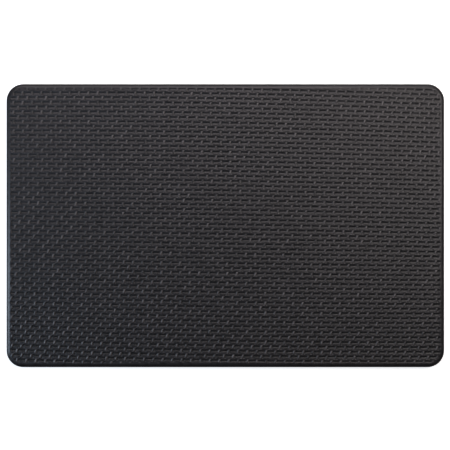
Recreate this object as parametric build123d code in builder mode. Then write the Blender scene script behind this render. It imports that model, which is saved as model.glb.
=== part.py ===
"""Cushioned standing mat: a firm foam slab with a soft foam inlay, wrapped in an embossed skin over a grip sheet.

The mat lies flat in the XY plane with its long side along X. The origin is the centre of its footprint on the
floor, and +Z points up towards the feet. Lengths are in millimetres. Every layer is worked out from the outline,
the overall thickness and the thickness of each sheet, so a change to one of them carries through the stack.
"""

import os

from build123d import *

# Overall size
MAT_LENGTH = 863.6
MAT_WIDTH = 558.8
MAT_THICKNESS = 19.0
CORNER_RADIUS = 33.0  # corners in plan
SHOULDER_RADIUS = 12.0  # roll from the standing face down to the side

# Sheets, from the outside in
SKIN_THICKNESS = 1.6  # embossed cover, measured at the crests
BACKING_THICKNESS = 0.6  # knitted fabric laminated under the skin
FILM_THICKNESS = 0.2  # hot-melt adhesive film, used above and below the foam
BASE_THICKNESS = 1.6  # grip sheet on the floor

# Foam
COMFORT_THICKNESS = 6.0  # slow-rebound inlay
FRAME_WIDTH = 28.0  # firm foam frame around the inlay, from the foam's edge inwards
POCKET_CORNER_RADIUS = 12.0  # inside corners of the frame

# Fits
BOND_GAP = 0.05  # glue line between two curved sheets
POCKET_CLEARANCE = 0.3  # inlay to frame, on each side
BASE_EDGE_BREAK = 0.4  # chamfer round the underside

# Insets, from the outside of the mat to the outside of each layer beneath the skin
backing_inset = SKIN_THICKNESS + BOND_GAP
core_inset = backing_inset + BACKING_THICKNESS + BOND_GAP
pocket_inset = core_inset + FRAME_WIDTH

# Levels, up from the floor, and the undersides of the skin and its backing
base_top = BASE_THICKNESS
foam_bottom = base_top + FILM_THICKNESS
skin_under = MAT_THICKNESS - SKIN_THICKNESS
backing_top = MAT_THICKNESS - backing_inset
backing_under = backing_top - BACKING_THICKNESS
foam_top = backing_under - FILM_THICKNESS
inlay_bottom = foam_top - COMFORT_THICKNESS


def mat_outline(inset: float):
    """Draws the mat's outline, moved inwards by inset all round, in the sketch that is open."""
    RectangleRounded(MAT_LENGTH - 2 * inset, MAT_WIDTH - 2 * inset, CORNER_RADIUS - inset)


def pocket_outline(clearance: float):
    """Draws the inside of the foam frame, smaller by clearance on every side, in the sketch that is open."""
    inset = pocket_inset + clearance
    RectangleRounded(
        MAT_LENGTH - 2 * inset, MAT_WIDTH - 2 * inset, POCKET_CORNER_RADIUS - clearance
    )


def rolled_slab(inset: float, bottom: float, top: float) -> Part:
    """A slab that lies inside the mat's side by inset, with its shoulder rolled about the same centre."""
    with BuildPart() as slab:
        with BuildSketch(Plane.XY.offset(bottom)):
            mat_outline(inset)
        extrude(amount=top - bottom)
        fillet(slab.edges().group_by(Axis.Z)[-1], radius=SHOULDER_RADIUS - inset)
    return slab.part


skin_form = rolled_slab(0, base_top, MAT_THICKNESS)
skin_cavity = rolled_slab(SKIN_THICKNESS, base_top, skin_under)
backing_form = rolled_slab(backing_inset, base_top, backing_top)
backing_cavity = rolled_slab(backing_inset + BACKING_THICKNESS, base_top, backing_under)
core_form = rolled_slab(core_inset, foam_bottom, foam_top)

# Embossed skin: standing face, rolled shoulder and side in one sheet, open underneath
with BuildPart() as top_cover:
    add(skin_form)
    add(skin_cavity, mode=Mode.SUBTRACT)

# Knitted backing that lines the whole inside of the skin
with BuildPart() as cover_backing:
    add(backing_form)
    add(backing_cavity, mode=Mode.SUBTRACT)

# Film that holds the backing to the flat of the foam, as far as the shoulder
with BuildPart() as upper_bond_film:
    with BuildSketch(Plane.XY.offset(foam_top)):
        mat_outline(SHOULDER_RADIUS)
    extrude(amount=FILM_THICKNESS)

# Soft inlay under the feet
with BuildPart() as comfort_inlay:
    with BuildSketch(Plane.XY.offset(inlay_bottom)):
        pocket_outline(POCKET_CLEARANCE)
    extrude(amount=COMFORT_THICKNESS)

# Firm frame round the inlay, which carries the rolled shoulder
with BuildPart() as edge_frame:
    add(core_form)
    split(bisect_by=Plane.XY.offset(inlay_bottom), keep=Keep.TOP)
    with BuildSketch(Plane.XY.offset(inlay_bottom)):
        pocket_outline(0)
    extrude(amount=COMFORT_THICKNESS, mode=Mode.SUBTRACT)

# Firm slab under the inlay and the frame
with BuildPart() as support_slab:
    add(core_form)
    split(bisect_by=Plane.XY.offset(inlay_bottom), keep=Keep.BOTTOM)

# Film that holds the foam to the grip sheet
with BuildPart() as lower_bond_film:
    with BuildSketch(Plane.XY.offset(base_top)):
        mat_outline(core_inset)
    extrude(amount=FILM_THICKNESS)

# Grip sheet that lies on the floor
with BuildPart() as base_sheet:
    with BuildSketch():
        mat_outline(0)
    extrude(amount=BASE_THICKNESS)
    chamfer(base_sheet.edges().group_by(Axis.Z)[0], length=BASE_EDGE_BREAK)

pieces = {
    "top_cover": top_cover,
    "cover_backing": cover_backing,
    "upper_bond_film": upper_bond_film,
    "comfort_inlay": comfort_inlay,
    "edge_frame": edge_frame,
    "support_slab": support_slab,
    "lower_bond_film": lower_bond_film,
    "base_sheet": base_sheet,
}

os.makedirs("parts", exist_ok=True)
for name, piece in pieces.items():
    piece.part.label = name
    export_step(piece.part, f"parts/{name}.step")
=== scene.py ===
"""Looks for a cushioned standing mat: an embossed skin over layered foam, with a grip sheet underneath.

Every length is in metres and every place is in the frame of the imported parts: X along the long side,
Y along the short side and Z up from the floor. Each layer of the mat is a class that holds its sizes,
builds its mesh and dresses it in a finish. The layers ride on the mat's only body, because nothing on
it moves.
"""

import logging
import math
from dataclasses import dataclass, field, fields
from enum import Enum

import bpy
import numpy as np
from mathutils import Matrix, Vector

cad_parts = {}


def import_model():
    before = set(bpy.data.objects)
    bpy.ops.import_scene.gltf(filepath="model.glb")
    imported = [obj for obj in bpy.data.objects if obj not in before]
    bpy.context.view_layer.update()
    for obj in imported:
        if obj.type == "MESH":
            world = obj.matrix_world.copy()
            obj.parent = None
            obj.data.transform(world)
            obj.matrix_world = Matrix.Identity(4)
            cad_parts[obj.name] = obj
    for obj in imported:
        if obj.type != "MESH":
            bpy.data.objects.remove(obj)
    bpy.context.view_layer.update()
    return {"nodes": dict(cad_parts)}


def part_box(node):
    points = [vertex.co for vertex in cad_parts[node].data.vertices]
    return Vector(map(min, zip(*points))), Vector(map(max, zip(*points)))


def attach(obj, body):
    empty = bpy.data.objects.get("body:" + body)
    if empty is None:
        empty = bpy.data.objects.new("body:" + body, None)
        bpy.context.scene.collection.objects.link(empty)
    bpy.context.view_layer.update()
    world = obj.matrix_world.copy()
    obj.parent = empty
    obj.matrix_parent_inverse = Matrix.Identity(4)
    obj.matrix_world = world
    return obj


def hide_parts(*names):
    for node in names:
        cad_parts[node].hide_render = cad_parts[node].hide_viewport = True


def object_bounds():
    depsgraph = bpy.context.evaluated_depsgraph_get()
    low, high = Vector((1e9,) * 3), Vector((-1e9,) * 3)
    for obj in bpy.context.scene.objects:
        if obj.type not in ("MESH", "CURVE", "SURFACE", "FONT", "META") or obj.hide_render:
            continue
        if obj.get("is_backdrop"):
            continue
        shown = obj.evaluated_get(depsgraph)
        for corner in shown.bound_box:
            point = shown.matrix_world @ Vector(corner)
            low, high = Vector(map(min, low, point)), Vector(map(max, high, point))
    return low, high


LOG = logging.getLogger("mat")
BODY = "root"
MM = 0.001
MOST_STAKES = 512.0  # more than stand along one crease, so that each stake has its own number
ROWS_BELOW = 4096.0  # keeps the count of rows above zero, on both sides of the middle
Colour = tuple[float, float, float]


# ---- Node trees ----


@dataclass(frozen=True)
class Wire:
    """A number on its way between nodes. Arithmetic on it adds Math nodes to its graph."""

    graph: "Graph"
    socket: bpy.types.NodeSocket

    def math(self, operation: str, *others: "Wire | float") -> "Wire":
        """Adds one Math node that takes this wire first.

        Args:
            operation: Blender's name for the operation.
            others: the remaining operands, as wires or plain numbers.

        Returns:
            The wire that leaves the node.
        """
        node = self.graph.node("ShaderNodeMath", operation=operation)
        for socket, value in zip(node.inputs, (self, *others)):
            self.graph.feed(socket, value)
        return Wire(self.graph, node.outputs[0])

    def __add__(self, other: "Wire | float") -> "Wire":
        """The sum of two numbers."""
        return self.math("ADD", other)

    def __sub__(self, other: "Wire | float") -> "Wire":
        """This number less another."""
        return self.math("SUBTRACT", other)

    def __mul__(self, other: "Wire | float") -> "Wire":
        """The product of two numbers."""
        return self.math("MULTIPLY", other)

    def __truediv__(self, other: "Wire | float") -> "Wire":
        """This number divided by another."""
        return self.math("DIVIDE", other)

    def __abs__(self) -> "Wire":
        """The size of the number without its sign."""
        return self.math("ABSOLUTE")

    def __pow__(self, power: "Wire | float") -> "Wire":
        """The number, kept from going below zero, raised to a power."""
        return self.math("MAXIMUM", 0.0).math("POWER", power)

    def rest_of_one(self) -> "Wire":
        """One less the number."""
        return (self * -1.0) + 1.0

    def inverse(self) -> "Wire":
        """One divided by the number."""
        node = self.graph.node("ShaderNodeMath", {0: 1.0, 1: self}, operation="DIVIDE")
        return Wire(self.graph, node.outputs[0])

    def ramp(self, start: "Wire | float", end: "Wire | float") -> "Wire":
        """A smooth step that is 0 up to start and 1 from end on."""
        node = self.graph.node(
            "ShaderNodeMapRange",
            {"Value": self, "From Min": start, "From Max": end},
            interpolation_type="SMOOTHSTEP",
        )
        return Wire(self.graph, node.outputs[0])


class Graph:
    """A node tree that is being drawn up, for geometry or for shading."""

    def __init__(self, tree: bpy.types.NodeTree) -> None:
        """Takes a tree, which may be empty."""
        self.tree = tree

    def node(
        self, kind: str, feeds: dict[str | int, object] | None = None, **settings: object
    ) -> bpy.types.Node:
        """Adds a node.

        Args:
            kind: Blender's identifier of the node's type.
            feeds: what goes into each input, by the input's name or number.
            settings: properties of the node itself.

        Returns:
            The node.
        """
        made = self.tree.nodes.new(kind)
        for name, value in settings.items():
            setattr(made, name, value)
        for key, value in (feeds or {}).items():
            self.feed(made.inputs[key], value)
        return made

    def feed(self, socket: bpy.types.NodeSocket, value: object) -> None:
        """Links a wire or an output to a socket, or sets the socket to a plain value."""
        source = value.socket if isinstance(value, Wire) else value
        if isinstance(source, bpy.types.NodeSocket):
            self.tree.links.new(source, socket)
        else:
            socket.default_value = source

    def wire(self, node: bpy.types.Node, output: str | int = 0) -> Wire:
        """The wire that leaves one of a node's outputs."""
        return Wire(self, node.outputs[output])

    def split(self, vector: object) -> tuple[Wire, Wire, Wire]:
        """The three parts of a vector."""
        node = self.node("ShaderNodeSeparateXYZ", {0: vector})
        return self.wire(node, 0), self.wire(node, 1), self.wire(node, 2)

    def vector(self, x: Wire | float, y: Wire | float, z: Wire | float) -> Wire:
        """A vector made of three parts."""
        return self.wire(self.node("ShaderNodeCombineXYZ", {0: x, 1: y, 2: z}))

    def beyond(self, x: Wire, y: Wire, sides: tuple[Wire, Wire], corner: Wire) -> Wire:
        """How far a point lies outside a rounded rectangle, negative inside it.

        Args:
            x: the point's place along the length.
            y: the point's place along the width.
            sides: the rectangle's length and width.
            corner: the radius of its corners.

        Returns:
            The wire that carries the distance.
        """
        far_x = abs(x) - sides[0] * 0.5 + corner
        far_y = abs(y) - sides[1] * 0.5 + corner
        out_x, out_y = far_x.math("MAXIMUM", 0.0), far_y.math("MAXIMUM", 0.0)
        outside = (out_x * out_x + out_y * out_y).math("SQRT")
        return outside + far_x.math("MAXIMUM", far_y).math("MINIMUM", 0.0) - corner

    def noise(self, place: object, scale: Wire | float, detail: float) -> bpy.types.Node:
        """Soft noise, at so many patches to the metre."""
        return self.node("ShaderNodeTexNoise", {"Vector": place, "Scale": scale, "Detail": detail})

    def spots(self, place: object, scale: Wire | float, feature: str = "F1") -> bpy.types.Node:
        """Scattered cells, at so many to the metre."""
        feeds = {"Vector": place, "Scale": scale}
        return self.node("ShaderNodeTexVoronoi", feeds, feature=feature)

    def scaled(self, vector: object, share: Wire | float) -> Wire:
        """A vector times a number."""
        feeds = {0: vector, "Scale": share}
        return self.wire(self.node("ShaderNodeVectorMath", feeds, operation="SCALE"))

    def mix(self, share: Wire | float, first: object, second: object) -> Wire:
        """A colour between two colours.

        Args:
            share: 0 for the first colour and 1 for the second.
            first: a colour or a wire that carries one.
            second: a colour or a wire that carries one.

        Returns:
            The wire that carries the mixed colour.
        """
        node = self.node("ShaderNodeMix", data_type="RGBA")
        colours = [s for s in node.inputs if s.type == "RGBA"]
        self.feed(node.inputs[0], share)
        for socket, value in zip(colours, (first, second)):
            self.feed(socket, (*value, 1.0) if isinstance(value, tuple) else value)
        return Wire(self, next(s for s in node.outputs if s.type == "RGBA"))


class NamedInputs:
    """The group input node of a tree, whose sockets are made and read by name."""

    def __init__(self, graph: Graph) -> None:
        """Adds the group input node to the graph."""
        self.graph = graph
        self.node = graph.node("NodeGroupInput")

    def number(self, name: str, value: float = 0.0) -> Wire:
        """Makes a number input with a default value."""
        return self._make(name, "NodeSocketFloat", value)

    def numbers(self, *names: str) -> list[Wire]:
        """Makes several number inputs."""
        return [self.number(name) for name in names]

    def whole(self, name: str, value: int = 0) -> Wire:
        """Makes a whole number input with a default value."""
        return self._make(name, "NodeSocketInt", value)

    def vector(self, name: str) -> Wire:
        """Makes a vector input."""
        return self._make(name, "NodeSocketVector", None)

    def _make(self, name: str, kind: str, value: object) -> Wire:
        """Makes an input socket of a kind and returns the wire that leaves it."""
        socket = self.graph.tree.interface.new_socket(name, in_out="INPUT", socket_type=kind)
        if value is not None:
            socket.default_value = value
        return Wire(self.graph, self.node.outputs[name])


class ShapeTree:
    """A Geometry Nodes tree that takes a mesh and named sizes and gives back a finished mesh."""

    def __init__(self, name: str) -> None:
        """Makes the tree with its geometry input and output."""
        tree = bpy.data.node_groups.new(name, "GeometryNodeTree")
        tree.interface.new_socket("Mesh", in_out="INPUT", socket_type="NodeSocketGeometry")
        tree.interface.new_socket("Mesh", in_out="OUTPUT", socket_type="NodeSocketGeometry")
        self.graph = Graph(tree)
        self.inputs = NamedInputs(self.graph)
        self.mesh = self.graph.wire(self.inputs.node, "Mesh")

    def keep(self, mesh: Wire, name: str, value: Wire) -> Wire:
        """Stores a number on every point of the mesh under a name."""
        node = self.graph.node(
            "GeometryNodeStoreNamedAttribute",
            {"Geometry": mesh, "Name": name},
            data_type="FLOAT",
            domain="POINT",
        )
        self.graph.feed(next(s for s in node.inputs if s.name == "Value" and s.enabled), value)
        return self.graph.wire(node)

    def close(self, mesh: Wire, finish: bpy.types.Material) -> None:
        """Ends the tree in real geometry that wears one finish."""
        real = self.graph.node("GeometryNodeRealizeInstances", {0: mesh})
        dressed = self.graph.node(
            "GeometryNodeSetMaterial", {"Geometry": real.outputs[0], "Material": finish}
        )
        self.graph.node("NodeGroupOutput", {"Mesh": dressed.outputs[0]})

    def apply(self, piece: bpy.types.Object, sizes: dict[str, float | int]) -> None:
        """Runs the tree on a piece and leaves a plain mesh in place of the modifier.

        Args:
            piece: the object whose mesh goes into the tree.
            sizes: the value of each named input.
        """
        modifier = piece.modifiers.new("shape", "NODES")
        modifier.node_group = self.graph.tree
        for item in self.graph.tree.interface.items_tree:
            if item.item_type == "SOCKET" and item.in_out == "INPUT" and item.name in sizes:
                modifier[item.identifier] = sizes[item.name]
        bpy.context.view_layer.update()
        graph = bpy.context.evaluated_depsgraph_get()
        made = bpy.data.meshes.new_from_object(
            piece.evaluated_get(graph), preserve_all_data_layers=True, depsgraph=graph
        )
        piece.modifiers.remove(modifier)
        plain = piece.data
        piece.data = made
        bpy.data.meshes.remove(plain)
        made.name = piece.name


# ---- Effects that several finishes share ----


class Effect(Enum):
    """A surface effect that is built once as a node group."""

    GRAIN = "skin_grain"
    DRIFT = "tone_drift"
    DUST = "settled_dust"
    CELLS = "foam_cells"


class Effects:
    """Builds each shared effect when it is first asked for."""

    def __init__(self) -> None:
        """Starts with no effect built."""
        self._built: dict[Effect, bpy.types.NodeTree] = {}

    def place(self, graph: Graph, effect: Effect, **values: object) -> Wire:
        """Puts an effect into a material.

        Args:
            graph: the material's graph.
            effect: which effect.
            values: what feeds each named input, with spaces in a name written as underscores.

        Returns:
            The effect's output.
        """
        if effect not in self._built:
            self._built[effect] = getattr(self, f"_{effect.name.lower()}")(effect.value)
        node = graph.node("ShaderNodeGroup", node_tree=self._built[effect])
        for name, value in values.items():
            graph.feed(node.inputs[name.replace("_", " ")], value)
        return graph.wire(node)

    def _start(self, name: str, output: str) -> tuple[Graph, NamedInputs, Wire]:
        """Makes an empty group with one output and a Vector input."""
        tree = bpy.data.node_groups.new(name, "ShaderNodeTree")
        tree.interface.new_socket(output, in_out="OUTPUT", socket_type="NodeSocketFloat")
        graph = Graph(tree)
        inputs = NamedInputs(graph)
        return graph, inputs, inputs.vector("Vector")

    def _grain(self, name: str) -> bpy.types.NodeTree:
        """Leather-like grain: rounded islands between creases, over wrinkles. Height from 0 to 1."""
        graph, inputs, place = self._start(name, "Height")
        size = inputs.number("Island size", 0.7 * MM)
        shift = graph.scaled(graph.noise(place, 900.0, 2.0).outputs["Color"], 0.35 * MM)
        moved = graph.node("ShaderNodeVectorMath", {0: place, 1: shift}, operation="ADD")
        islands = graph.spots(moved.outputs[0], size.inverse(), "DISTANCE_TO_EDGE")
        wrinkles = graph.noise(place, 420.0, 4.0)
        raised = graph.wire(islands, "Distance").ramp(0.0, 0.3)
        height = raised * 0.65 + graph.wire(wrinkles) * 0.35
        graph.node("NodeGroupOutput", {0: height})
        return graph.tree

    def _drift(self, name: str) -> bpy.types.NodeTree:
        """Slow unevenness of a dyed or moulded surface. Value from 0 to 1, mostly near a half."""
        graph, inputs, place = self._start(name, "Value")
        patch = inputs.number("Patch size", 0.1)
        noise = graph.noise(place, patch.inverse(), 3.0)
        graph.node("NodeGroupOutput", {0: graph.wire(noise).ramp(0.25, 0.75)})
        return graph.tree

    def _dust(self, name: str) -> bpy.types.NodeTree:
        """Specks of lint and dust, few and small. Mask from 0 to 1."""
        graph, inputs, place = self._start(name, "Mask")
        spacing = inputs.number("Spacing", 0.04)
        speck = inputs.number("Speck size", 0.6 * MM)
        spots = graph.spots(place, spacing.inverse())
        near = graph.wire(spots, "Distance") * spacing
        chance, other, _ = graph.split(spots.outputs["Color"])
        size = speck * (other * 0.8 + 0.4)
        mask = near.ramp(size * 0.4, size).rest_of_one() * chance.ramp(0.45, 0.5)
        graph.node("NodeGroupOutput", {0: mask})
        return graph.tree

    def _cells(self, name: str) -> bpy.types.NodeTree:
        """Cut foam cells: small round hollows between thin walls. Height from 0 to 1."""
        graph, inputs, place = self._start(name, "Height")
        size = inputs.number("Cell size", 0.8 * MM)
        scale = size.inverse()
        large, small = graph.spots(place, scale), graph.spots(place, scale * 2.3)
        height = (
            graph.wire(large, "Distance").ramp(0.1, 0.7) * 0.7
            + graph.wire(small, "Distance").ramp(0.1, 0.7) * 0.3
        )
        graph.node("NodeGroupOutput", {0: height})
        return graph.tree


class Surface:
    """A material with one Principled shader, and the helpers that its finish uses."""

    def __init__(self, name: str, effects: Effects) -> None:
        """Makes the material with an empty tree but for its shader and output."""
        self.effects = effects
        self.material = bpy.data.materials.new(name)
        self.material.use_nodes = True
        self.material.node_tree.nodes.clear()
        self.graph = Graph(self.material.node_tree)
        self.shader = self.graph.node("ShaderNodeBsdfPrincipled")
        self.output = self.graph.node(
            "ShaderNodeOutputMaterial", {"Surface": self.shader.outputs[0]}
        )
        self.place = self.graph.node("ShaderNodeTexCoord").outputs["Object"]

    def set(self, name: str, value: object) -> None:
        """Feeds or sets one of the shader's inputs."""
        self.graph.feed(self.shader.inputs[name], value)

    def attribute(self, name: str) -> Wire:
        """A number that the mesh carries on its points."""
        node = self.graph.node("ShaderNodeAttribute", attribute_name=name)
        return self.graph.wire(node, "Fac")

    def effect(self, effect: Effect, **values: object) -> Wire:
        """A shared effect at this surface's own place."""
        return self.effects.place(self.graph, effect, Vector=self.place, **values)

    def bump(self, height: Wire, depth: float, under: object = None) -> bpy.types.NodeSocket:
        """A normal bent by a height.

        Args:
            height: the height, from 0 to 1.
            depth: how deep 1 is, in metres.
            under: the normal to start from, or None for the mesh's own.

        Returns:
            The socket that carries the normal.
        """
        feeds: dict[str | int, object] = {"Height": height, "Distance": depth, "Strength": 1.0}
        if under is not None:
            feeds["Normal"] = under
        return self.graph.node("ShaderNodeBump", feeds).outputs[0]


# ---- Finishes ----


class Finish:
    """What a material is made from. A finish has a name and says how its surface is dressed."""

    name: str

    def make(self, effects: Effects) -> bpy.types.Material:
        """Builds the material.

        Args:
            effects: the shared effects.

        Returns:
            The material.
        """
        surface = Surface(self.name, effects)
        self.dress(surface, surface.graph)
        return surface.material

    def dress(self, surface: Surface, graph: Graph) -> None:
        """Feeds the surface's shader."""
        raise NotImplementedError


@dataclass(frozen=True)
class EmbossedSkin(Finish):
    """Near-black polyurethane skin: satin on the cords, lighter on the stakes where shoes scuff them and by
    a painted highlight, and darkened by painted shade in the creases.
    """

    name: str = "embossed_skin"
    cord: Colour = (0.0175, 0.0162, 0.0176)
    # crease is painted shade: the colour that the creases between the cords are darkened to.
    crease: Colour = (0.0016, 0.0016, 0.0018)
    # The stake colour is partly scuffing and partly a painted highlight on the stakes.
    worn: Colour = (0.104, 0.094, 0.094)
    lint: Colour = (0.16, 0.155, 0.15)
    cord_crest: float = 0.66
    roughness: float = 0.36
    press_depth: float = 0.85 * MM
    grain_depth: float = 0.05 * MM

    def dress(self, skin: Surface, graph: Graph) -> None:
        """Feeds the shader."""
        crest = skin.attribute("crest")
        stake = skin.attribute("stake")
        drift = skin.effect(Effect.DRIFT, Patch_size=0.16)
        mottle = skin.effect(Effect.DRIFT, Patch_size=7 * MM)
        grain = skin.effect(Effect.GRAIN, Island_size=0.9 * MM)
        dust = skin.effect(Effect.DUST, Spacing=0.075)
        # level runs from 0 in the creases to 1 on the cords, so this mix paints shade into the creases.
        level = crest.ramp(self.cord_crest * 0.5, self.cord_crest)
        tone = graph.mix(level * (mottle * 0.9 + 0.35), self.crease, self.cord)
        # Lightens the stakes, partly for scuffing and partly as a painted highlight.
        stake_scuff_and_highlight_share = stake * (mottle * 0.6 + 0.35) * (drift * 0.2 + 0.8)
        tone = graph.mix(stake_scuff_and_highlight_share, tone, self.worn)
        skin.set("Base Color", graph.mix(dust * 0.8, tone, self.lint))
        rough = level * -0.1 + (self.roughness + 0.1) + (mottle - 0.5) * 0.14
        skin.set("Roughness", rough + (grain.rest_of_one() * 0.06) + dust * 0.2)
        skin.set("Specular IOR Level", 0.5)
        pressed = skin.bump(crest, self.press_depth)
        skin.set("Normal", skin.bump(grain, self.grain_depth, pressed))


@dataclass(frozen=True)
class KnitLining(Finish):
    """Fine warp knit in dark grey yarn."""

    name: str = "knit_lining"
    yarn: Colour = (0.10, 0.10, 0.105)
    gap: Colour = (0.03, 0.03, 0.033)
    wale: float = 0.9 * MM

    def dress(self, knit: Surface, graph: Graph) -> None:
        """Feeds the shader."""
        x, y, z = graph.split(knit.place)
        turn = 2 * math.pi / self.wale
        column = abs((x * (turn / 2)).math("SINE"))
        course = ((y + z) * turn + (x * (turn / 2)).math("SINE") * 1.2).math("SINE") * 0.5 + 0.5
        loops = column * 0.6 + course * 0.4
        drift = knit.effect(Effect.DRIFT, Patch_size=0.05)
        knit.set("Base Color", graph.mix(loops * (drift * 0.4 + 0.7), self.gap, self.yarn))
        knit.set("Roughness", loops * -0.1 + 0.95)
        knit.set("Sheen Weight", 0.25)
        knit.set("Normal", knit.bump(loops, 0.25 * MM))


@dataclass(frozen=True)
class HotMeltFilm(Finish):
    """Milky adhesive film with the faint web that the rollers leave."""

    name: str = "hot_melt_film"
    thin: Colour = (0.62, 0.58, 0.47)
    thick: Colour = (0.78, 0.74, 0.62)

    def dress(self, film: Surface, graph: Graph) -> None:
        """Feeds the shader."""
        web = graph.spots(film.place, 160.0, "SMOOTH_F1")
        drift = film.effect(Effect.DRIFT, Patch_size=0.03)
        amount = graph.wire(web, "Distance").ramp(0.1, 0.8) * (drift * 0.5 + 0.5)
        film.set("Base Color", graph.mix(amount, self.thin, self.thick))
        film.set("Roughness", amount * 0.2 + 0.35)
        film.set("Normal", film.bump(amount, 0.05 * MM))


@dataclass(frozen=True)
class CutFoam(Finish):
    """Polyurethane foam with open cells on every cut face, darkened by painted shade in the cell hollows.
    """

    name: str
    wall: Colour
    # hollow is painted shade: the colour that the cells darken to in their hollows.
    hollow: Colour
    cell: float

    def dress(self, foam: Surface, graph: Graph) -> None:
        """Feeds the shader."""
        cells = foam.effect(Effect.CELLS, Cell_size=self.cell)
        drift = foam.effect(Effect.DRIFT, Patch_size=0.06)
        # The hollow colour paints shade into the cells.
        foam.set("Base Color", graph.mix(cells * (drift * 0.3 + 0.7), self.hollow, self.wall))
        foam.set("Roughness", cells * -0.08 + 0.97)
        foam.set("Subsurface Weight", 0.05)
        foam.set("Normal", foam.bump(cells, 0.4 * self.cell))


@dataclass(frozen=True)
class GripElastomer(Finish):
    """Black elastomer with a fine matte texture from the mould, dusty between the nubs."""

    name: str = "grip_elastomer"
    clean: Colour = (0.012, 0.012, 0.0125)
    dusty: Colour = (0.045, 0.043, 0.041)

    def dress(self, rubber: Surface, graph: Graph) -> None:
        """Feeds the shader."""
        grain = rubber.effect(Effect.GRAIN, Island_size=0.5 * MM)
        drift = rubber.effect(Effect.DRIFT, Patch_size=0.08)
        dust = rubber.effect(Effect.DUST, Spacing=0.02, Speck_size=0.5 * MM)
        tone = graph.mix(drift * 0.35, self.clean, self.dusty)
        rubber.set("Base Color", graph.mix(dust * 0.5, tone, self.dusty))
        rubber.set("Roughness", drift * 0.12 + 0.6)
        rubber.set("Specular IOR Level", 0.35)
        rubber.set("Normal", rubber.bump(grain, 0.03 * MM))


@dataclass(frozen=True)
class PaleSweep(Finish):
    """Plain pale paper for the studio floor, which looks white and throws little light back."""

    name: str = "pale_sweep"
    paper: Colour = (0.82, 0.82, 0.82)
    thrown: Colour = (0.12, 0.12, 0.125)
    glow: float = 0.75

    def dress(self, sweep: Surface, graph: Graph) -> None:
        """Feeds the shader. The glow is for the eye only and lights nothing."""
        drift = sweep.effect(Effect.DRIFT, Patch_size=0.9)
        darker = tuple(0.98 * part for part in self.paper)
        sweep.set("Base Color", graph.mix(drift, self.paper, darker))
        sweep.set("Roughness", 0.9)
        sweep.set("Specular IOR Level", 0.1)
        glow = graph.node("ShaderNodeEmission", {"Strength": self.glow})
        lit = graph.node("ShaderNodeAddShader", {0: sweep.shader.outputs[0], 1: glow.outputs[0]})
        dim = graph.node("ShaderNodeBsdfDiffuse", {"Color": (*self.thrown, 1.0)})
        eye = graph.node("ShaderNodeLightPath").outputs["Is Camera Ray"]
        shown = graph.node(
            "ShaderNodeMixShader", {0: eye, 1: dim.outputs[0], 2: lit.outputs[0]}
        )
        graph.feed(sweep.output.inputs["Surface"], shown.outputs[0])


# ---- Meshes through rounded rectangles ----


@dataclass(frozen=True)
class Outline:
    """A rounded rectangle in plan, centred on the origin."""

    length: float
    width: float
    radius: float

    def inset(self, distance: float) -> "Outline":
        """The outline moved inwards by a distance, or outwards by a negative one."""
        return Outline(
            self.length - 2 * distance, self.width - 2 * distance, self.radius - distance
        )

    def place(self, along: np.ndarray, across: np.ndarray) -> np.ndarray:
        """Turns shares of the outline into points.

        Args:
            along: shares along X. From -1 to 1 is the straight part, and out to 2 is the corner's radius.
            across: the same along Y.

        Returns:
            An array of X and Y for each pair of shares.
        """
        core = np.stack(
            [
                np.clip(along, -1, 1) * (self.length / 2 - self.radius),
                np.clip(across, -1, 1) * (self.width / 2 - self.radius),
            ],
            axis=-1,
        )
        past_x = np.maximum(np.abs(along) - 1, 0) * self.radius
        past_y = np.maximum(np.abs(across) - 1, 0) * self.radius
        reach = np.maximum(past_x, past_y)
        least = np.minimum(past_x, past_y)
        turn = np.pi / 4 * np.divide(least, reach, out=np.zeros_like(reach), where=reach > 0)
        major, minor = reach * np.cos(turn), reach * np.sin(turn)
        wide = past_x >= past_y
        out = np.stack(
            [
                np.sign(along) * np.where(wide, major, minor),
                np.sign(across) * np.where(wide, minor, major),
            ],
            axis=-1,
        )
        return core + out


@dataclass(frozen=True)
class Ring:
    """One closed line round a lofted body.

    Attributes:
        outline: the line in plan.
        height: its level.
        laid: the outline that the line would have with the sheet laid out flat.
    """

    outline: Outline
    height: float
    laid: Outline | None = None


class End(Enum):
    """How a lofted body is closed at its first or last ring."""

    GRID = "a grid of faces"
    FACE = "one flat face"
    JOINED = "joined to the other end, for a frame"


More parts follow.
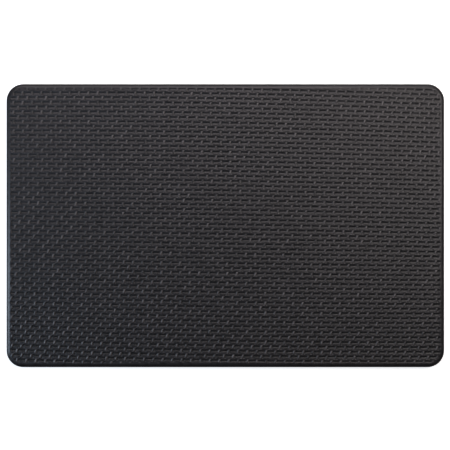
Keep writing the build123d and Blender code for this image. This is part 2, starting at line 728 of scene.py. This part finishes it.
@dataclass(frozen=True)
class Loft:
    """A closed body through a stack of rings that share one pattern of points."""

    outline: Outline
    step: float
    least_corner: int = 6

    def _shares(self, straight: float) -> np.ndarray:
        """The shares at which a side is divided, corner to corner."""
        corner = max(self.least_corner, round(self.outline.radius / self.step))
        bend = np.arange(1, corner + 1) / corner
        return np.concatenate(
            [-1 - bend[::-1], np.linspace(-1, 1, max(2, round(straight / self.step)) + 1), 1 + bend]
        )

    def build(self, name: str, rings: list[Ring], ends: tuple[End, End]) -> bpy.types.Object:
        """Builds the body, its faces pointing outwards when the rings run from the top outwards and down.

        Args:
            name: the piece's name.
            rings: the rings, in order.
            ends: how the first and the last ring are closed.

        Returns:
            The piece, whose points carry their place on the sheet laid flat as "laid".
        """
        along = self._shares(self.outline.length - 2 * self.outline.radius)
        across = self._shares(self.outline.width - 2 * self.outline.radius)
        grid = np.stack(np.meshgrid(along, across, indexing="xy"), axis=-1)
        rows, columns = grid.shape[:2]
        number = np.arange(rows * columns).reshape(rows, columns)
        edge = np.concatenate(
            [number[0, :-1], number[:-1, -1], number[-1, :0:-1], number[:0:-1, 0]]
        )
        loop = grid.reshape(-1, 2)[edge]
        points: list[np.ndarray] = []
        laid: list[np.ndarray] = []
        lines: list[np.ndarray] = []
        quads: list[np.ndarray] = []
        caps: list[np.ndarray] = []
        total = 0
        for place, ring in enumerate(rings):
            last = place == len(rings) - 1
            whole = (place == 0 and ends[0] is End.GRID) or (last and ends[1] is End.GRID)
            shares = grid.reshape(-1, 2) if whole else loop
            flat = ring.outline.place(shares[:, 0], shares[:, 1])
            spread = (ring.laid or ring.outline).place(shares[:, 0], shares[:, 1])
            points.append(np.column_stack([flat, np.full(len(flat), ring.height)]))
            laid.append(np.column_stack([spread, np.zeros(len(flat))]))
            lines.append(total + (edge if whole else np.arange(len(loop))))
            if whole:
                quads.append((total + grid_faces(number))[:, :: -1 if last else 1])
            elif (place == 0 and ends[0] is End.FACE) or (last and ends[1] is End.FACE):
                caps.append(lines[-1][:: -1 if last else 1])
            total += len(flat)
        pairs = list(zip(lines, lines[1:]))
        if ends[0] is End.JOINED:
            pairs.append((lines[-1], lines[0]))
        for inner, outer in pairs:
            quads.append(
                np.stack([inner, outer, np.roll(outer, -1), np.roll(inner, -1)], axis=-1)
            )
        return self._mesh(name, np.concatenate(points), np.concatenate(laid), quads, caps)

    def _mesh(
        self,
        name: str,
        points: np.ndarray,
        laid: np.ndarray,
        quads: list[np.ndarray],
        caps: list[np.ndarray],
    ) -> bpy.types.Object:
        """Makes the object from its points, four-sided faces and caps."""
        mesh = bpy.data.meshes.new(name)
        corners = np.concatenate([np.concatenate(quads).reshape(-1), *caps]).astype(np.int32)
        sizes = np.concatenate(
            [np.full(sum(len(q) for q in quads), 4), [len(cap) for cap in caps]]
        ).astype(np.int32)
        starts = np.concatenate([[0], np.cumsum(sizes)[:-1]]).astype(np.int32)
        mesh.vertices.add(len(points))
        mesh.vertices.foreach_set("co", points.astype(np.float32).reshape(-1))
        mesh.loops.add(len(corners))
        mesh.loops.foreach_set("vertex_index", corners)
        mesh.polygons.add(len(sizes))
        mesh.polygons.foreach_set("loop_start", starts)
        mesh.update(calc_edges=True)
        mesh.validate()
        mark = mesh.attributes.new("laid", "FLOAT_VECTOR", "POINT")
        mark.data.foreach_set("vector", laid.astype(np.float32).reshape(-1))
        mesh.shade_smooth()
        piece = bpy.data.objects.new(name, mesh)
        bpy.context.scene.collection.objects.link(piece)
        return piece


def grid_faces(number: np.ndarray) -> np.ndarray:
    """The four-sided faces between points that are numbered in rows and columns."""
    corners = [number[:-1, :-1], number[:-1, 1:], number[1:, 1:], number[1:, :-1]]
    return np.stack(corners, axis=-1).reshape(-1, 4)


def rolled(
    flat: Outline,
    radius: float,
    centre: float,
    turns: np.ndarray,
    laid: Outline | None = None,
) -> list[Ring]:
    """The rings of a rolled edge.

    Args:
        flat: the outline inside which the sheet is flat.
        radius: of the roll.
        centre: the level of the roll's centre line.
        turns: the angles of the rings, from 0 at the flat to a quarter turn at the side.
        laid: one outline for all the rings of the sheet laid flat, or None for their own.

    Returns:
        A ring for each angle.
    """
    return [
        Ring(flat.inset(-radius * math.sin(turn)), centre + radius * math.cos(turn), laid)
        for turn in turns
    ]


def settle(
    piece: bpy.types.Object, nodes: list[str], finish: bpy.types.Material
) -> bpy.types.Object:
    """Puts a piece on the mat's body in place of its plain solids.

    Args:
        piece: the modelled piece.
        nodes: the plain solids that it stands for.
        finish: the material it wears.

    Returns:
        The same piece.
    """
    piece.data.materials.clear()
    piece.data.materials.append(finish)
    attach(piece, BODY)
    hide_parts(*nodes)
    LOG.info("%s: %d faces, for %s", piece.name, len(piece.data.polygons), ", ".join(nodes))
    return piece


# ---- The mat's layers, from the skin down ----


@dataclass(frozen=True)
class Envelope:
    """The mat's outside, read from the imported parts, with the two radii that shape it."""

    corner: float = 33 * MM
    shoulder: float = 12 * MM

    def plan(self) -> Outline:
        """The outline of the whole mat."""
        low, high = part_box("top_cover")
        return Outline(high.x - low.x, high.y - low.y, self.corner)

    def flat(self) -> Outline:
        """The outline of the flat standing face, inside the rolled shoulder."""
        return self.plan().inset(self.shoulder)


@dataclass(frozen=True)
class BasketWeave:
    """The weave pressed into the skin: rows of rounded cord, with leaning stakes that bridge the creases.

    Each stake lies across the crease between two rows, and those of the next crease stand half a pitch on.

    Attributes:
        pitch: from one stake to the next along a crease.
        row: from one crease to the next.
        stake: width of a stake.
        reach: half the length of a stake.
        sink: how far the middle of a stake lies below its crease.
        slant: how far a stake leans to the right for each metre upwards.
        flare: how much a stake widens for each metre upwards, as a share of its width.
        moat: half the width of the hollow at the lower right of a stake.
        moat_side: how far right of the stake that hollow lies.
        moat_sink: how far the middle of that hollow lies below the crease.
        moat_depth: how deep that hollow is, as a share of a cord's height.
        cord_level: how high the cords rise, where the stakes rise to 1.
        relief: from the crests down to the creases.
        tilt: how far the rows fall for each metre to the right.
        lean: how far the columns shift to the left for each metre up.
        bow: how much closer the rows lie towards the short sides.
        squeeze: how much closer the stakes stand towards the right-hand side.
        row_start: where the first crease lies, as a share of the row.
        stake_start: where a stake of the first crease stands, as a share of the pitch.
        stake_level: how high a stake of middling height rises, as a share of the relief.
        merge: how softly the stakes run into the cords, as a share of the relief.
        unevenness: how much the stakes differ in height, as a share of the relief.
        wear_spread: how much the stakes differ in scuffing and in their painted highlight.
        fade_start: how far outside the flat face the weave starts to fade.
        fade_end: how far outside the flat face it has gone.
        seed: for the unevenness.
    """

    pitch: float = 18.467 * MM
    row: float = 9.518 * MM
    stake: float = 3.9 * MM
    flare: float = 75.0
    reach: float = 4.3 * MM
    sink: float = 0.5 * MM
    slant: float = 0.34
    moat: float = 2.2 * MM
    moat_side: float = 4.0 * MM
    moat_sink: float = 1.0 * MM
    moat_depth: float = 0.6
    cord_level: float = 0.66
    relief: float = 1.35 * MM
    tilt: float = 0.0172
    lean: float = 0.0161
    bow: float = 0.1023
    squeeze: float = 0.0334
    row_start: float = 1.893
    stake_start: float = 0.387
    stake_level: float = 0.94
    merge: float = 0.06
    unevenness: float = 0.12
    wear_spread: float = 0.9
    fade_start: float = -1.0 * MM
    fade_end: float = 5.5 * MM
    seed: int = 7

    def tree(self, flat: Outline, finish: bpy.types.Material) -> ShapeTree:
        """Draws up the tree that presses the weave into a skin.

        Args:
            flat: not used; the flat outline reaches the tree through the sizes given to its inputs.
            finish: the material the skin wears.

        Returns:
            The tree.
        """
        shape = ShapeTree("press_weave")
        graph, given = shape.graph, shape.inputs
        pitch, row, stake, relief = given.numbers("Pitch", "Row", "Stake", "Relief")
        reach, sink, slant, moat = given.numbers("Reach", "Sink", "Slant", "Moat")
        tilt, lean, bow, squeeze = given.numbers("Tilt", "Lean", "Bow", "Squeeze")
        laid = graph.node(
            "GeometryNodeInputNamedAttribute", {"Name": "laid"}, data_type="FLOAT_VECTOR"
        )
        x, y, _ = graph.split(laid.outputs["Attribute"])

        right = x.math("MAXIMUM", 0.0)
        column = (x + right * right * squeeze + y * lean) / pitch
        line = (y + x * tilt + x * x * y * bow) / row + given.number("Row start")
        crease = (line + 0.5).math("FLOOR")
        above = (line - crease) * row
        shifted = (
            column
            - above * slant / pitch
            - crease.math("FLOORED_MODULO", 2.0) * 0.5
            + given.number("Stake start")
        )
        number = shifted.math("FLOOR")
        side = (shifted.math("FRACT") - 0.5) * pitch

        luck = graph.node("FunctionNodeRandomValue", data_type="FLOAT")
        graph.feed(luck.inputs["ID"], crease * MOST_STAKES + number)
        graph.feed(luck.inputs["Seed"], given.whole("Seed"))
        chance = Wire(graph, next(s for s in luck.outputs if s.enabled)) - 0.5

        from_crease = abs(above) / (row * 0.5)
        cord = (from_crease.rest_of_one() ** 2.2).rest_of_one() ** 0.6
        off_moat = abs(side - given.number("Moat side"))
        across_moat = off_moat.ramp(moat * 0.2, moat).rest_of_one()
        along_moat = ((abs(above + given.number("Moat sink")) / reach) ** 3.0).rest_of_one()
        hollow = across_moat * along_moat * given.number("Moat depth")
        pad = cord * hollow.rest_of_one() * given.number("Cord level")

        half = stake * 0.5 * (above * given.number("Flare") + 1.0)
        span = ((abs(above + sink) / reach) ** 3.0).rest_of_one() ** 0.7
        bridge = ((abs(side) / half) ** 2.2).rest_of_one() ** 0.6 * span
        unevenness, stake_level, merge = given.numbers("Unevenness", "Stake level", "Merge")
        risen = bridge * (chance * unevenness + stake_level)
        height = pad.math("SMOOTH_MAX", risen, merge).math("MINIMUM", 1.0)
        # A share that lightens the stakes in the skin's colour, partly for scuffing and partly as a painted
        # highlight.
        scuff_and_highlight = bridge * (chance * given.number("Wear spread") + 1.0)

        length, width, corner = given.numbers("Flat length", "Flat width", "Flat corner")
        beyond = graph.beyond(x, y, (length, width), corner)
        share = beyond.ramp(*given.numbers("Fade start", "Fade end")).rest_of_one()
        depth = (height.rest_of_one() * relief) * share
        normal = graph.node("GeometryNodeInputNormal")
        move = graph.scaled(normal.outputs[0], depth * -1.0)
        pressed = graph.node("GeometryNodeSetPosition", {"Geometry": shape.mesh, "Offset": move})
        crest = (height - 1.0) * share + 1.0
        mesh = shape.keep(graph.wire(pressed), "crest", crest)
        mesh = shape.keep(mesh, "stake", scuff_and_highlight * share)
        shape.close(mesh, finish)
        return shape

    def sizes(self, flat: Outline) -> dict[str, float | int]:
        """The value of each of the tree's named inputs, most of them named after the sizes above."""
        named = {
            item.name.replace("_", " ").capitalize(): getattr(self, item.name)
            for item in fields(self)
        }
        flats = {"Flat length": flat.length, "Flat width": flat.width, "Flat corner": flat.radius}
        return named | flats


@dataclass(frozen=True)
class Cover:
    """The embossed skin: standing face, rolled shoulder and side in one closed sheet, open underneath.

    Attributes:
        envelope: the mat's outside.
        weave: what is pressed into the standing face.
        thickness: of the skin at the crests.
        lip: the rounding at the skin's lower edge.
        step: the spacing of the mesh.
        unpressed: how far out the side and the inner face are laid, so that the weave misses them.
        outer_rounds: the angles in the outer roll.
        inner_rounds: the angles in the inner roll.
    """

    envelope: Envelope
    weave: BasketWeave = field(default_factory=BasketWeave)
    thickness: float = 1.6 * MM
    lip: float = 0.3 * MM
    step: float = 1.0 * MM
    unpressed: float = 40 * MM
    outer_rounds: int = 15
    inner_rounds: int = 7

    def build(self, finish: bpy.types.Material) -> bpy.types.Object:
        """Builds the skin and presses the weave into it.

        Args:
            finish: the skin's material.

        Returns:
            The piece.
        """
        flat = self.envelope.flat()
        low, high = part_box("top_cover")
        outer, inner = self.envelope.shoulder, self.envelope.shoulder - self.thickness
        centre = high.z - outer
        rings = [Ring(flat, high.z, flat)]
        for turn in np.linspace(0, math.pi / 2, self.outer_rounds)[1:]:
            out = outer * math.sin(turn)
            rings.append(
                Ring(flat.inset(-out), centre + outer * math.cos(turn), flat.inset(-outer * turn))
            )
        away = flat.inset(-self.unpressed)
        for level in np.linspace(centre, low.z + self.lip, 5)[1:]:
            rings.append(Ring(flat.inset(-outer), level, away))
        rings.append(Ring(flat.inset(self.lip * 0.3 - outer), low.z + self.lip * 0.3, away))
        rings.append(Ring(flat.inset(self.lip - outer), low.z, away))
        rings.append(Ring(flat.inset(-inner), low.z, away))
        rings += rolled(flat, inner, centre, np.linspace(math.pi / 2, 0, self.inner_rounds), away)
        piece = Loft(flat, self.step).build("cover_skin", rings, (End.GRID, End.FACE))
        self.weave.tree(flat, finish).apply(piece, self.weave.sizes(flat))
        settle(piece, ["top_cover"], finish)
        return piece


@dataclass(frozen=True)
class Lining:
    """The knitted fabric laminated inside the skin."""

    envelope: Envelope
    thickness: float = 0.6 * MM
    step: float = 9 * MM
    rounds: int = 7

    def build(self, finish: bpy.types.Material) -> bpy.types.Object:
        """Builds the lining as a thin closed sheet that follows the skin's inside.

        Args:
            finish: the lining's material.

        Returns:
            The piece.
        """
        flat = self.envelope.flat()
        low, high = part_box("cover_backing")
        outer = self.envelope.shoulder - (self.envelope.plan().length - (high.x - low.x)) / 2
        inner = outer - self.thickness
        centre = high.z - outer
        rings = [Ring(flat, high.z)]
        turns = np.linspace(0, math.pi / 2, self.rounds)
        rings += rolled(flat, outer, centre, turns[1:])
        rings += [Ring(flat.inset(-outer), low.z), Ring(flat.inset(-inner), low.z)]
        rings += rolled(flat, inner, centre, turns[::-1])
        piece = Loft(flat, self.step).build("knit_lining", rings, (End.GRID, End.GRID))
        settle(piece, ["cover_backing"], finish)
        drop = (outer - self.thickness / 2) * math.pi / 2 + centre - low.z
        cut = flat.inset(-drop)
        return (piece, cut.length * cut.width - (4 - math.pi) * cut.radius**2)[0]


@dataclass(frozen=True)
class FoamCore:
    """The three blocks of foam: a soft inlay in a firm frame, on a firm slab."""

    envelope: Envelope
    pocket_corner: float = 12 * MM
    soft_edge: float = 0.7 * MM
    clearance: float = 0.3 * MM
    land: float = 8 * MM
    levels: int = 7
    step: float = 10 * MM

    def _edge(self, outline: Outline, low: float, high: float) -> list[Ring]:
        """The rings of a cut block with slightly softened edges."""
        soft = self.soft_edge
        return [
            Ring(outline.inset(soft), high),
            Ring(outline.inset(soft * 0.3), high - soft * 0.3),
            Ring(outline, high - soft),
            Ring(outline, low + soft),
            Ring(outline.inset(soft * 0.3), low + soft * 0.3),
            Ring(outline.inset(soft), low),
        ]

    def _plan(self, node: str, corner: float) -> tuple[Outline, float, float]:
        """A block's outline and its lower and upper level."""
        low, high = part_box(node)
        return Outline(high.x - low.x, high.y - low.y, corner), low.z, high.z

    def build_inlay(self, finish: bpy.types.Material) -> bpy.types.Object:
        """Builds the slow-rebound inlay."""
        outline, low, high = self._plan("comfort_inlay", self.pocket_corner)
        rings = self._edge(outline, low, high)
        piece = Loft(outline, self.step).build("comfort_foam", rings, (End.GRID, End.GRID))
        settle(piece, ["comfort_inlay"], finish)
        return piece

    def build_slab(self, finish: bpy.types.Material) -> bpy.types.Object:
        """Builds the firm slab, whose upper edge follows the start of the shoulder."""
        outline, low, high = self._plan("support_slab", self.envelope.corner)
        rings = [Ring(outline.inset(self._shoulder_inset(high)), high)]
        side = self.envelope.plan().inset(self._core_inset())
        for share in (0.6, 0.3, 0.0):
            level = self._centre() + (high - self._centre()) * share
            rings.append(Ring(side.inset(self._shoulder_inset(level)), level))
        rings += [Ring(side, low + self.soft_edge), Ring(side.inset(self.soft_edge), low)]
        piece = Loft(outline, self.step).build("support_foam", rings, (End.GRID, End.GRID))
        settle(piece, ["support_slab"], finish)
        return piece

    def build_frame(self, finish: bpy.types.Material) -> bpy.types.Object:
        """Builds the firm frame round the inlay."""
        side = self.envelope.plan().inset(self._core_inset())
        _, low, high = self._plan("edge_frame", self.envelope.corner)
        inlay, _, _ = self._plan("comfort_inlay", self.pocket_corner)
        pocket = inlay.inset(-self.clearance)
        soft = self.soft_edge
        start = side.inset(self._shoulder_inset(high) + self.land)
        rings = [Ring(pocket.inset(-soft), high), Ring(start, high)]
        for level in np.linspace(high, low, self.levels):
            rings.append(Ring(side.inset(self._shoulder_inset(level)), level))
        rings += [
            Ring(pocket.inset(-soft), low),
            Ring(pocket, low + soft),
            Ring(pocket, high - soft),
        ]
        piece = Loft(side, self.step).build("foam_frame", rings, (End.JOINED, End.JOINED))
        settle(piece, ["edge_frame"], finish)
        return piece

    def _core_inset(self) -> float:
        """How far the foam's side lies inside the mat's side."""
        low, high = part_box("support_slab")
        return (self.envelope.plan().length - (high.x - low.x)) / 2

    def _centre(self) -> float:
        """The level of the shoulder's centre line."""
        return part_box("top_cover")[1].z - self.envelope.shoulder

    def _shoulder_inset(self, level: float) -> float:
        """How far the rolled shoulder of the foam has turned in at a level."""
        radius = self.envelope.shoulder - self._core_inset()
        rise = min(max(level - self._centre(), 0.0), radius)
        return radius - math.sqrt(radius * radius - rise * rise)


@dataclass(frozen=True)
class GripBase:
    """The grip sheet: a thin elastomer sheet with a flat rim and rows of nubs underneath.

    Attributes:
        envelope: the mat's outside.
        nub_height: of a nub, whose tip is level with the rim.
        nub_radius: of a nub at its root.
        nub_pitch: from one nub to the next in a row.
        nub_waist: the radius where the crown starts, as a share of the root's.
        nub_tip: the radius of the tip, as a share of the root's.
        nub_room: how far the nubs stay inside the rim, as a share of the root's radius.
        nub_sides: the sides of a nub.
        rim: width of the flat rim.
        edge: the softening of the sheet's edges.
        step: the spacing of the mesh.
    """

    envelope: Envelope
    nub_height: float = 0.6 * MM
    nub_radius: float = 2.4 * MM
    nub_pitch: float = 11 * MM
    nub_waist: float = 0.84
    nub_tip: float = 0.55
    nub_room: float = 1.3
    nub_sides: int = 8
    rim: float = 7 * MM
    edge: float = 0.4 * MM
    step: float = 8 * MM

    def build(self, finish: bpy.types.Material) -> bpy.types.Object:
        """Builds the sheet and plants the nubs on it.

        Args:
            finish: the elastomer.

        Returns:
            The piece.
        """
        plan = self.envelope.plan()
        low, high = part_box("base_sheet")
        under = low.z + self.nub_height
        rings = [
            Ring(plan.inset(self.edge * 0.5), high.z),
            Ring(plan, high.z - self.edge * 0.5),
            Ring(plan, low.z + self.edge),
            Ring(plan.inset(self.edge * 0.3), low.z + self.edge * 0.3),
            Ring(plan.inset(self.edge), low.z),
            Ring(plan.inset(self.rim), low.z),
            Ring(plan.inset(self.rim + self.edge), under),
        ]
        piece = Loft(plan, self.step).build("grip_base", rings, (End.GRID, End.GRID))
        field_outline = plan.inset(self.rim + self.edge)
        self._tree(finish).apply(
            piece,
            {
                "Nub pitch": self.nub_pitch,
                "Nub radius": self.nub_radius,
                "Nub height": self.nub_height,
                "Under level": under,
                "Field length": field_outline.length,
                "Field width": field_outline.width,
                "Field corner": field_outline.radius,
            },
        )
        return settle(piece, ["base_sheet"], finish)

    def _tree(self, finish: bpy.types.Material) -> ShapeTree:
        """Draws up the tree that plants nubs in staggered rows inside the rim."""
        shape = ShapeTree("plant_nubs")
        graph, given = shape.graph, shape.inputs
        pitch, radius, height = given.numbers("Nub pitch", "Nub radius", "Nub height")
        under, corner = given.numbers("Under level", "Field corner")
        length, width = given.numbers("Field length", "Field width")
        rise = pitch * (math.sqrt(3) / 2)
        across = (length / pitch).math("CEIL") + 2.0
        down = (width / rise).math("CEIL") + 2.0
        lattice = graph.node(
            "GeometryNodeMeshGrid",
            {
                "Size X": (across - 1.0) * pitch,
                "Size Y": (down - 1.0) * rise,
                "Vertices X": across,
                "Vertices Y": down,
            },
        )
        spot = graph.node("GeometryNodeInputPosition")
        _, y, _ = graph.split(spot.outputs[0])
        row = (y / rise + ROWS_BELOW).math("FLOOR")
        stagger = (row.math("FLOORED_MODULO", 2.0) - 0.5) * (pitch * 0.5)
        moved = graph.node(
            "GeometryNodeSetPosition",
            {"Geometry": lattice.outputs["Mesh"], "Offset": graph.vector(stagger, 0.0, under)},
        )
        place = graph.node("GeometryNodeInputPosition")
        x, y, _ = graph.split(place.outputs[0])
        beyond = graph.beyond(x, y, (length, width), corner) + radius * self.nub_room
        kept = graph.node(
            "GeometryNodeDeleteGeometry",
            {"Geometry": moved.outputs[0], "Selection": beyond.math("GREATER_THAN", 0.0)},
            domain="POINT",
        )
        waist = radius * self.nub_waist
        body = self._taper(graph, radius, waist, height * 0.9, height * 0.1)
        crown = self._taper(graph, waist, radius * self.nub_tip, height * 0.2, height * -0.8)
        nub = graph.node("GeometryNodeJoinGeometry")
        for part in (body, crown):
            graph.tree.links.new(part.socket, nub.inputs[0])
        planted = graph.node(
            "GeometryNodeInstanceOnPoints", {"Points": kept.outputs[0], "Instance": nub.outputs[0]}
        )
        whole = graph.node("GeometryNodeJoinGeometry")
        for part in (shape.mesh.socket, planted.outputs[0]):
            graph.tree.links.new(part, whole.inputs[0])
        shape.close(graph.wire(whole), finish)
        return shape

    def _taper(self, graph: Graph, wide: Wire, narrow: Wire, depth: Wire, level: Wire) -> Wire:
        """A short cone frustum that narrows downwards from a level beside its point."""
        cone = graph.node(
            "GeometryNodeMeshCone",
            {
                "Vertices": self.nub_sides,
                "Radius Top": narrow,
                "Radius Bottom": wide,
                "Depth": depth,
            },
        )
        turned = graph.node(
            "GeometryNodeTransform",
            {
                "Geometry": cone.outputs["Mesh"],
                "Rotation": (math.pi, 0.0, 0.0),
                "Translation": graph.vector(0.0, 0.0, level),
            },
        )
        return graph.wire(turned)


@dataclass(frozen=True)
class BondFilms:
    """The two adhesive films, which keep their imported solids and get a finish."""

    nodes: tuple[str, ...] = ("upper_bond_film", "lower_bond_film")

    def dress(self, finish: bpy.types.Material, solids: dict[str, bpy.types.Object]) -> None:
        """Puts the finish on both films."""
        for name in self.nodes:
            solid = solids[name]
            solid.data.materials.clear()
            solid.data.materials.append(finish)
            LOG.info("%s: kept, with a new finish", name)


# ---- Studio ----


@dataclass(frozen=True)
class SoftBox:
    """A soft rectangular light that looks at a point on the mat."""

    name: str
    place: Colour
    aim: Colour
    size: tuple[float, float]
    power: float
    colour: Colour

    def build(self) -> None:
        """Hangs the light."""
        lamp = bpy.data.lights.new(self.name, "AREA")
        lamp.shape = "RECTANGLE"
        lamp.size, lamp.size_y = self.size
        lamp.energy = self.power
        lamp.color = self.colour
        holder = bpy.data.objects.new(self.name, lamp)
        holder.location = self.place
        toward = Vector(self.aim) - Vector(self.place)
        holder.rotation_euler = toward.to_track_quat("-Z", "Y").to_euler()
        holder.visible_camera = False
        bpy.context.scene.collection.objects.link(holder)


@dataclass(frozen=True)
class Studio:
    """A pale floor, soft lights and a camera that looks straight down."""

    lens: float = 85.0
    shown_width: float = 0.8888
    level: float = 7 * MM
    shift: tuple[float, float] = (-0.7 * MM, 1.3 * MM)
    floor_side: float = 60.0
    floor_cuts: int = 19
    ambient: float = 0.05
    boxes: tuple[SoftBox, ...] = (
        SoftBox("key", (0.6, 1.05, 1.8), (0.2, 0.1, 0), (0.8, 0.4), 5.0, (1.0, 0.88, 0.78)),
        SoftBox("back_near", (-0.1, 0.95, 0.9), (0, 0.1, 0), (1.4, 0.3), 7.0, (1.0, 0.91, 0.97)),
        SoftBox("back_low", (0.0, 2.3, 0.7), (0, 0.1, 0), (2.8, 0.5), 14.0, (1.0, 0.95, 0.97)),
        SoftBox("right_near", (1.15, 0.35, 1.2), (0.1, 0.1, 0), (0.4, 0.8), 8.5, (1.0, 0.93, 0.92)),
        SoftBox("left", (-1.8, -0.3, 1.8), (0, 0, 0), (0.7, 1.2), 12.5, (0.55, 0.74, 1.0)),
        SoftBox("left_low", (-1.3, -0.2, 0.3), (0, 0, 0), (0.3, 1.0), 7.5, (0.68, 0.83, 1.0)),
        SoftBox("front", (-0.2, -1.5, 1.5), (0, 0, 0), (1.6, 0.4), 0.7, (1.0, 0.94, 0.98)),
    )

    def build(self, effects: Effects) -> None:
        """Sets up the floor, lights, surroundings and camera."""
        self._floor(PaleSweep().make(effects))
        for box in self.boxes:
            box.build()
        self._surroundings()
        self._camera()
        bpy.context.scene.view_settings.view_transform = "Standard"
        LOG.info("studio: %d lights", len(self.boxes))

    def _floor(self, finish: bpy.types.Material) -> None:
        """Lays the floor under the mat."""
        low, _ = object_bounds()
        half = self.floor_side / 2
        cuts = np.linspace(-half, half, self.floor_cuts)
        across, along = np.meshgrid(cuts, cuts, indexing="xy")
        points = np.column_stack([across.ravel(), along.ravel(), np.full(across.size, low.z)])
        number = np.arange(across.size).reshape(across.shape)
        mesh = bpy.data.meshes.new("studio_floor")
        mesh.from_pydata(points.tolist(), [], grid_faces(number).tolist())
        mesh.materials.append(finish)
        floor = bpy.data.objects.new("studio_floor", mesh)
        bpy.context.scene.collection.objects.link(floor)
        floor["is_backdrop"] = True

    def _surroundings(self) -> None:
        """Gives the room around the mat an even, weak light."""
        world = bpy.data.worlds.new("studio_room")
        world.use_nodes = True
        world.node_tree.nodes.clear()
        graph = Graph(world.node_tree)
        room = graph.node(
            "ShaderNodeBackground", {"Color": (1.0, 1.0, 1.0, 1.0), "Strength": self.ambient}
        )
        graph.node("ShaderNodeOutputWorld", {"Surface": room.outputs[0]})
        bpy.context.scene.world = world

    def _camera(self) -> None:
        """Hangs the camera over the mat, to show shown_width at the level of the widest outline."""
        camera = bpy.data.cameras.new("overhead_camera")
        camera.lens = self.lens
        camera.sensor_width = 36.0
        camera.clip_end = 50.0
        holder = bpy.data.objects.new("overhead_camera", camera)
        rise = self.shown_width * self.lens / camera.sensor_width
        holder.location = (self.shift[0], self.shift[1], self.level + rise)
        bpy.context.scene.collection.objects.link(holder)
        bpy.context.scene.camera = holder


def main() -> None:
    """Builds every layer of the mat, then the studio."""
    logging.basicConfig(level=logging.INFO, format="%(name)s: %(message)s")
    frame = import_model()
    effects = Effects()
    envelope = Envelope()

    Cover(envelope).build(EmbossedSkin().make(effects))
    Lining(envelope).build(KnitLining().make(effects))
    BondFilms().dress(HotMeltFilm().make(effects), frame["nodes"])
    soft = CutFoam("slow_rebound_foam", (0.80, 0.77, 0.67), (0.42, 0.39, 0.31), 0.7 * MM)
    firm = CutFoam("firm_foam", (0.15, 0.15, 0.16), (0.05, 0.05, 0.055), 0.9 * MM)
    core = FoamCore(envelope)
    core.build_inlay(soft.make(effects))
    firm_finish = firm.make(effects)
    core.build_frame(firm_finish)
    core.build_slab(firm_finish)
    GripBase(envelope).build(GripElastomer().make(effects))
    Studio().build(effects)


if __name__ == "__main__":
    main()
